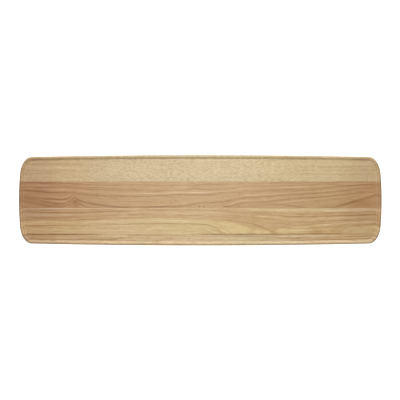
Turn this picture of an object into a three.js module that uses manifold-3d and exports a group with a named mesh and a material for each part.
// Solid-wood wrist rest: four staves glued edge to edge into one board, with a
// thin raised lip round a shallow dished top, standing on six rubber feet that
// sit in shallow round recesses in the underside.
//
// Frame: millimetres. +X runs along the length, +Y to the back edge (the edge
// that faces the keyboard), +Z up. The origin is the centre of the footprint on
// the plane the feet stand on.

import * as THREE from 'three';
import { mergeVertices, toCreasedNormals } from 'three/addons/utils/BufferGeometryUtils.js';
import Module from 'manifold-3d';

// ---- driving dimensions ----------------------------------------------------
const LENGTH = 360;               // overall, end to end
const WIDTH = 90;                 // overall, across the widest point (mid length)
const BOARD_THICKNESS = 18;       // underside to crest of the lip
const STAND_OFF = 1.5;            // desk to underside of the board
const BOARD_BOTTOM = STAND_OFF;
const BOARD_TOP = BOARD_BOTTOM + BOARD_THICKNESS;

// plan outline
const SIDE_END_X = 167;           // where a long side hands over to the corner
const SIDE_BOW = 1.84;            // a long side falls this much from mid length to SIDE_END_X
const END_CORNER_Y = 25.4;        // where an end hands over to the corner
const END_BOW = 0.97;             // an end falls this much from its middle to END_CORNER_Y
const CORNER_HANDLE_END = 9.8;    // corner curve handle on the end side
const CORNER_HANDLE_SIDE = 6.6;   // corner curve handle on the long side
const SIDE_STEPS = 14;
const END_STEPS = 6;
const CORNER_STEPS = 9;

// edge profile, as inset from the outline against height
const BOTTOM_ROUND = 1.5;         // radius of the lower arris
const TOP_ROUND_IN = 1.5;         // outer rounding of the lip, inwards
const TOP_ROUND_DOWN = 1.75;      // outer rounding of the lip, downwards
const CREST_IN = 1.875;           // inner side of the lip's crest
const DISH_SIDE = 4.4;            // where the dished face starts, from a long side
const DISH_END = 5;               // where the dished face starts, from an end
const DISH_DEPTH = 1;             // crest of the lip down to the dished face
const ROUND_STEPS = 4;
const DISH_STEPS = 6;

// centre lines of the three glue joints, and the glue film's thickness
const JOINT_Y = { back: 18.375, middle: -7.625, front: -33.75 };
const GLUE_FILM = 0.125;

// feet
const FOOT_COLUMNS = [
  { x: -150, name: 'left' },
  { x: 0, name: 'centre' },
  { x: 150, name: 'right' },
];
const FOOT_ROWS = [
  { y: 26, name: 'back' },
  { y: -26, name: 'front' },
];
const FOOT_STATIONS = FOOT_COLUMNS.flatMap((column) => FOOT_ROWS.map((row) => (
  { x: column.x, y: row.y, name: `${row.name}_${column.name}` })));
const FOOT_RADIUS = 5;
const FOOT_THICKNESS = 2;
const FOOT_ROUND = 0.6;           // rounding of the edge that meets the desk
const FOOT_ROUND_STEPS = 4;
const ADHESIVE_RADIUS = 4.875;
const ADHESIVE_THICKNESS = 0.25;
const RECESS_RADIUS = 5.3;
const RECESS_DEPTH = FOOT_THICKNESS + ADHESIVE_THICKNESS - STAND_OFF;
const RECESS_CEILING = BOARD_BOTTOM + RECESS_DEPTH;
const ROUND_SEGMENTS = 32;

// cutting bodies, which reach past the board
const RECESS_CUT_BELOW = 4;       // recess cutter's reach below the underside
const SLAB_LENGTH = LENGTH + 40;
const SLAB_HEIGHT = 64;
const SLAB_CENTRE_Z = 16;
const SLAB_OUTER_Y = 64;          // outer face of the slabs for the two outer staves

// ---- board blank -------------------------------------------------------------
// Plan outline, counter-clockwise from above. Each half turn is an end, a corner,
// a long side and the next corner; the second is the first turned by 180 degrees.
// Every point carries the outward normal of the curve.
function outline() {
  const halfLength = LENGTH / 2;
  const halfWidth = WIDTH / 2;
  const endX = halfLength - END_BOW;
  const sideY = halfWidth - SIDE_BOW;
  const endSlope = 2 * END_BOW / END_CORNER_Y;
  const sideSlope = 2 * SIDE_BOW / SIDE_END_X;

  const halfTurn = (sign) => {
    const at = (x, y) => new THREE.Vector2(sign * x, sign * y);
    // From an end to the long side; xSign picks the corner of this half turn.
    const corner = (xSign) => [
      at(xSign * endX, END_CORNER_Y),
      at(xSign * (endX - CORNER_HANDLE_END * endSlope), END_CORNER_Y + CORNER_HANDLE_END),
      at(xSign * (SIDE_END_X + CORNER_HANDLE_SIDE), sideY - CORNER_HANDLE_SIDE * sideSlope),
      at(xSign * SIDE_END_X, sideY),
    ];
    const end = [
      at(endX, -END_CORNER_Y),
      at(halfLength + END_BOW, 0),
      at(endX, END_CORNER_Y),
    ];
    const side = [
      at(SIDE_END_X, sideY),
      at(0, halfWidth + SIDE_BOW),
      at(-SIDE_END_X, sideY),
    ];
    return [
      { curve: new THREE.QuadraticBezierCurve(...end), steps: END_STEPS },
      { curve: new THREE.CubicBezierCurve(...corner(1)), steps: CORNER_STEPS },
      { curve: new THREE.QuadraticBezierCurve(...side), steps: SIDE_STEPS },
      { curve: new THREE.CubicBezierCurve(...corner(-1).reverse()), steps: CORNER_STEPS },
    ];
  };

  const points = [];
  for (const { curve, steps } of [...halfTurn(1), ...halfTurn(-1)]) {
    for (let i = 0; i < steps; i++) {
      const tangent = curve.getTangent(i / steps);
      points.push({
        point: curve.getPoint(i / steps),
        normal: new THREE.Vector2(tangent.y, -tangent.x).normalize(),
      });
    }
  }
  return points;
}

// From the underside, round the lower arris, up the side, over the lip and down
// its inner slope to the dished face. `dish` is how far through the inner slope
// a point lies, because that slope is a little longer at the ends.
function edgeProfile() {
  const rows = [];
  for (let i = 0; i <= ROUND_STEPS; i++) {
    const angle = (i / ROUND_STEPS) * Math.PI / 2;
    rows.push({
      inset: BOTTOM_ROUND * (1 - Math.sin(angle)),
      z: BOARD_BOTTOM + BOTTOM_ROUND * (1 - Math.cos(angle)),
      dish: 0,
    });
  }
  for (let i = 0; i <= ROUND_STEPS; i++) {
    const angle = (i / ROUND_STEPS) * Math.PI / 2;
    rows.push({
      inset: TOP_ROUND_IN * (1 - Math.cos(angle)),
      z: BOARD_TOP - TOP_ROUND_DOWN * (1 - Math.sin(angle)),
      dish: 0,
    });
  }
  for (let i = 0; i <= DISH_STEPS; i++) {
    const t = i / DISH_STEPS;
    rows.push({ inset: CREST_IN, z: BOARD_TOP - DISH_DEPTH * t * t * (3 - 2 * t), dish: t });
  }
  return rows;
}

// The uncut board as one closed body: a ring of points for every profile row,
// closed by a flat cap at each end of the profile.
function boardGeometry() {
  const ring = outline();
  const count = ring.length;
  const rows = edgeProfile();
  const contours = rows.map((row) => ring.map(({ point, normal }) => {
    const dishIn = DISH_SIDE + (DISH_END - DISH_SIDE) * normal.x * normal.x;
    const inset = row.inset + (dishIn - CREST_IN) * row.dish;
    return new THREE.Vector2(point.x - normal.x * inset, point.y - normal.y * inset);
  }));
  const positions = rows.flatMap(({ z }, r) => contours[r].flatMap(({ x, y }) => [x, y, z]));

  const index = [];
  for (let r = 0; r + 1 < rows.length; r++) {
    const lower = r * count;
    const upper = lower + count;
    for (let j = 0; j < count; j++) {
      const next = (j + 1) % count;
      index.push(lower + j, lower + next, upper + next);
      index.push(lower + j, upper + next, upper + j);
    }
  }
  const last = rows.length - 1;
  const top = last * count;
  for (const [a, b, c] of THREE.ShapeUtils.triangulateShape(contours[0], [])) {
    index.push(a, c, b);
  }
  for (const [a, b, c] of THREE.ShapeUtils.triangulateShape(contours[last], [])) {
    index.push(top + a, top + b, top + c);
  }

  const geometry = new THREE.BufferGeometry();
  geometry.setAttribute('position', new THREE.Float32BufferAttribute(positions, 3));
  geometry.setIndex(index);
  return geometry;
}

// ---- joining and cutting ----------------------------------------------------
const wasm = await Module();
wasm.setup();

const MERGE_TOLERANCE = 1e-5;
const SNAP_TOLERANCE = 1e-4;
const CREASE_ANGLE = Math.PI / 6;

function toSolid(geometry) {
  const bare = geometry.clone();
  bare.deleteAttribute('normal');
  bare.deleteAttribute('uv');
  const merged = mergeVertices(bare, MERGE_TOLERANCE);
  return new wasm.Manifold(new wasm.Mesh({
    numProp: 3,
    vertProperties: Float32Array.from(merged.attributes.position.array),
    triVerts: Uint32Array.from(merged.index.array),
  }));
}

const filmFront = (jointY) => jointY - GLUE_FILM / 2;
const filmBack = (jointY) => jointY + GLUE_FILM / 2;

// The glue film faces, the underside and the recess ceilings lie on exact planes,
// so their points are put back on those planes after a cut.
const EXACT_Y = Object.values(JOINT_Y).flatMap((y) => [filmFront(y), filmBack(y)]);
const EXACT_Z = [RECESS_CEILING, BOARD_BOTTOM];

function snap(value, planes) {
  return planes.find((plane) => Math.abs(value - plane) < SNAP_TOLERANCE) ?? value;
}

function toGeometry(solid) {
  const { numVert, numProp, vertProperties, triVerts } = solid.getMesh();
  const position = new Float32Array(numVert * 3);
  for (let i = 0; i < numVert; i++) {
    position[3 * i] = vertProperties[numProp * i];
    position[3 * i + 1] = snap(vertProperties[numProp * i + 1], EXACT_Y);
    position[3 * i + 2] = snap(vertProperties[numProp * i + 2], EXACT_Z);
  }
  const geometry = new THREE.BufferGeometry();
  geometry.setAttribute('position', new THREE.BufferAttribute(position, 3));
  geometry.setIndex(new THREE.BufferAttribute(Uint32Array.from(triVerts), 1));
  return toCreasedNormals(geometry, CREASE_ANGLE);
}

// A box that spans the whole board in X and Z, between two Y planes.
function slab(yLow, yHigh) {
  return new THREE.BoxGeometry(SLAB_LENGTH, yHigh - yLow, SLAB_HEIGHT)
    .translate(0, (yLow + yHigh) / 2, SLAB_CENTRE_Z);
}

// A disc standing on z = zLow, axis along Z.
function disc(radius, zLow, height) {
  return new THREE.CylinderGeometry(radius, radius, height, ROUND_SEGMENTS)
    .rotateX(Math.PI / 2)
    .translate(0, 0, zLow + height / 2);
}

// ---- materials --------------------------------------------------------------
const matt = (color, roughness) => (
  new THREE.MeshStandardMaterial({ color, roughness, metalness: 0 }));
const wood = (color) => matt(color, 0.5);
const glue = () => matt(0x9c7b52, 0.55);
const rubber = () => matt(0x1d1d1f, 0.85);
const adhesive = () => matt(0xdad8cf, 0.6);

// ---- assembly ---------------------------------------------------------------
function place(parent, name, geometry, material) {
  const mesh = new THREE.Mesh(geometry, material);
  mesh.name = name;
  parent.add(mesh);
}

// The board blank with its six foot recesses.
function recessedBlank() {
  const cutter = disc(
    RECESS_RADIUS, BOARD_BOTTOM - RECESS_CUT_BELOW, RECESS_CUT_BELOW + RECESS_DEPTH);
  let blank = toSolid(boardGeometry());
  for (const { x, y } of FOOT_STATIONS) {
    blank = blank.subtract(toSolid(cutter.clone().translate(x, y, 0)));
  }
  return blank;
}

// The blank parted along its glue joints into staves and glue films.
function makeBoard() {
  const board = new THREE.Group();
  board.name = 'board';
  const blank = recessedBlank();
  const addStrip = (name, yLow, yHigh, material) => {
    place(board, name, toGeometry(blank.intersect(toSolid(slab(yLow, yHigh)))), material);
  };

  const { back, middle, front } = JOINT_Y;
  addStrip('stave_back', filmBack(back), SLAB_OUTER_Y, wood(0xd2bb94));
  addStrip('stave_middle_back', filmBack(middle), filmFront(back), wood(0xa57d56));
  addStrip('stave_middle_front', filmBack(front), filmFront(middle), wood(0xc09a6c));
  addStrip('stave_front', -SLAB_OUTER_Y, filmFront(front), wood(0xc7a87c));
  for (const [where, y] of Object.entries(JOINT_Y)) {
    addStrip(`glue_line_${where}`, filmFront(y), filmBack(y), glue());
  }
  return board;
}

// A foot is a flat rubber disc with its desk-side edge rounded over.
function footGeometry() {
  const profile = [new THREE.Vector2(0, 0)];
  for (let i = 0; i <= FOOT_ROUND_STEPS; i++) {
    const angle = (i / FOOT_ROUND_STEPS) * Math.PI / 2;
    profile.push(new THREE.Vector2(
      FOOT_RADIUS - FOOT_ROUND * (1 - Math.sin(angle)),
      FOOT_ROUND * (1 - Math.cos(angle)),
    ));
  }
  profile.push(new THREE.Vector2(FOOT_RADIUS, FOOT_THICKNESS));
  profile.push(new THREE.Vector2(0, FOOT_THICKNESS));
  return new THREE.LatheGeometry(profile, ROUND_SEGMENTS).rotateX(Math.PI / 2);
}

// Six feet, each with an adhesive disc between it and its recess ceiling.
function makeFeet() {
  const feet = new THREE.Group();
  feet.name = 'feet';
  for (const { x, y, name } of FOOT_STATIONS) {
    const station = new THREE.Group();
    station.position.set(x, y, 0);
    feet.add(station);
    place(station, `foot_${name}`, footGeometry(), rubber());
    const pad = disc(ADHESIVE_RADIUS, FOOT_THICKNESS, ADHESIVE_THICKNESS);
    place(station, `foot_adhesive_${name}`, pad, adhesive());
  }
  return feet;
}

const wristRest = new THREE.Group();
wristRest.name = 'wrist_rest';
wristRest.add(makeBoard(), makeFeet());

export default wristRest;
